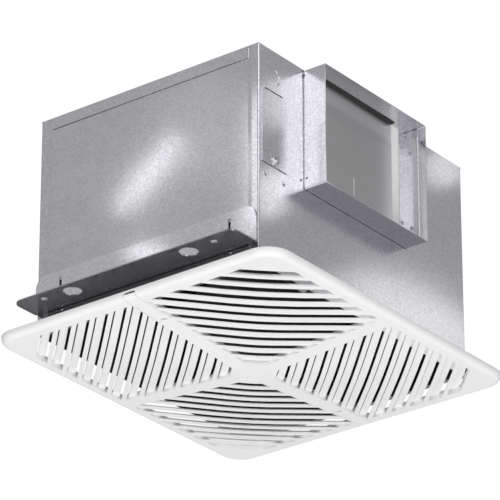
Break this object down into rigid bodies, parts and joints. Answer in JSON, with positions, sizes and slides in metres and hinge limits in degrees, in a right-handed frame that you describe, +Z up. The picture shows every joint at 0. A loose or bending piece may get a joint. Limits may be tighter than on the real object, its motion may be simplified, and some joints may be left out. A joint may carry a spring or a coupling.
{
  "type": "ceiling exhaust fan",
  "caption": "Ceiling exhaust fan: sheet steel housing with a centrifugal blower, rectangular duct collar with backdraft damper, hanging brackets and a slotted plastic grille.",
  "frame": {"origin": "centre of the grille in the ceiling plane, where the grille's rim meets the ceiling", "axes": "+Z up, +X out of the duct collar, +Y along the housing away from the wiring cover"},
  "size_m": [0.408, 0.4846, 0.2974],
  "materials": {
    "galvanised_steel": "satin",
    "zinc_hardware": "satin",
    "damper_aluminium": "satin",
    "nylon": "matte",
    "ground_green": "satin",
    "black_plastic": "matte",
    "grey_plastic": "matte",
    "motor_paint": "satin",
    "bearing_bronze": "satin",
    "core_steel": "matte",
    "black_rubber": "matte",
    "lead_jacket": "satin",
    "white_plastic": "satin"
  },
  "bodies": {
    "housing": {"top_panel": "galvanised_steel", "discharge_panel": "galvanised_steel", "back_panel": "galvanised_steel", "end_panel_front": "galvanised_steel", "end_panel_rear": "galvanised_steel", "duct_collar": "galvanised_steel", "damper_stop": "galvanised_steel", "damper_side_angles": "galvanised_steel", "cable_knockout": "galvanised_steel", "wiring_box": "galvanised_steel", "scroll_wrap": "galvanised_steel", "scroll_side_front": "galvanised_steel", "scroll_side_rear": "galvanised_steel", "inlet_ring_front": "galvanised_steel", "inlet_ring_rear": "galvanised_steel", "motor_bracket": "galvanised_steel", "end_panel_rivets": "zinc_hardware", "collar_rivets": "zinc_hardware", "seal_rivets": "zinc_hardware", "wiring_box_rivets": "zinc_hardware", "bracket_screws": "zinc_hardware", "motor_screws": "zinc_hardware", "grille_spring_nuts": "zinc_hardware", "damper_bushes": "nylon", "ground_screw": "ground_green", "wiring_receptacle": "black_plastic", "damper_top_seal": "black_rubber", "damper_side_seals": "white_plastic", "motor_front_bell": "motor_paint", "motor_rear_bell": "motor_paint", "motor_shell": "motor_paint", "motor_bearings": "bearing_bronze", "motor_stator": "core_steel", "motor_grommets": "black_rubber", "motor_lead": "lead_jacket", "lead_clips": "nylon"},
    "impeller": {"impeller_blades": "grey_plastic", "impeller_disc": "grey_plastic", "impeller_rims": "grey_plastic", "impeller_hub": "zinc_hardware", "hub_set_screw": "zinc_hardware", "motor_shaft": "zinc_hardware", "motor_rotor": "core_steel"},
    "damper": {"damper_flap": "damper_aluminium", "damper_rod": "zinc_hardware"},
    "grille": {"grille": "white_plastic", "grille_strip_front": "white_plastic", "grille_strip_rear": "white_plastic", "grille_screws": "zinc_hardware"},
    "wiring_cover": {"wiring_cover": "galvanised_steel", "wiring_cover_screw": "zinc_hardware"},
    "bracket_front": {"mounting_bracket_front": "galvanised_steel"},
    "bracket_rear": {"mounting_bracket_rear": "galvanised_steel"}
  },
  "joints": [
    {"name": "impeller_spin", "type": "hinge", "parent": "housing", "child": "impeller", "pos_m": [-0.025, 0, 0.14], "axis": [0, 1, 0], "continuous": true},
    {"name": "damper_swing", "type": "hinge", "parent": "housing", "child": "damper", "pos_m": [0.1609, 0, 0.2674], "axis": [0, -1, 0], "range_deg": [0, 80]},
    {"name": "grille_drop", "type": "slide", "parent": "housing", "child": "grille", "axis": [0, 0, -1], "range_m": [0, 0.05]},
    {"name": "wiring_cover_tilt", "type": "hinge", "parent": "housing", "child": "wiring_cover", "pos_m": [0.1605, -0.171, 0.2202], "axis": [0, -1, 0], "range_deg": [0, 35]},
    {"name": "bracket_front_slide", "type": "slide", "parent": "housing", "child": "bracket_front", "axis": [0, 0, 1], "range_m": [0, 0.012]},
    {"name": "bracket_rear_slide", "type": "slide", "parent": "housing", "child": "bracket_rear", "axis": [0, 0, 1], "range_m": [0, 0.012]}
  ]
}
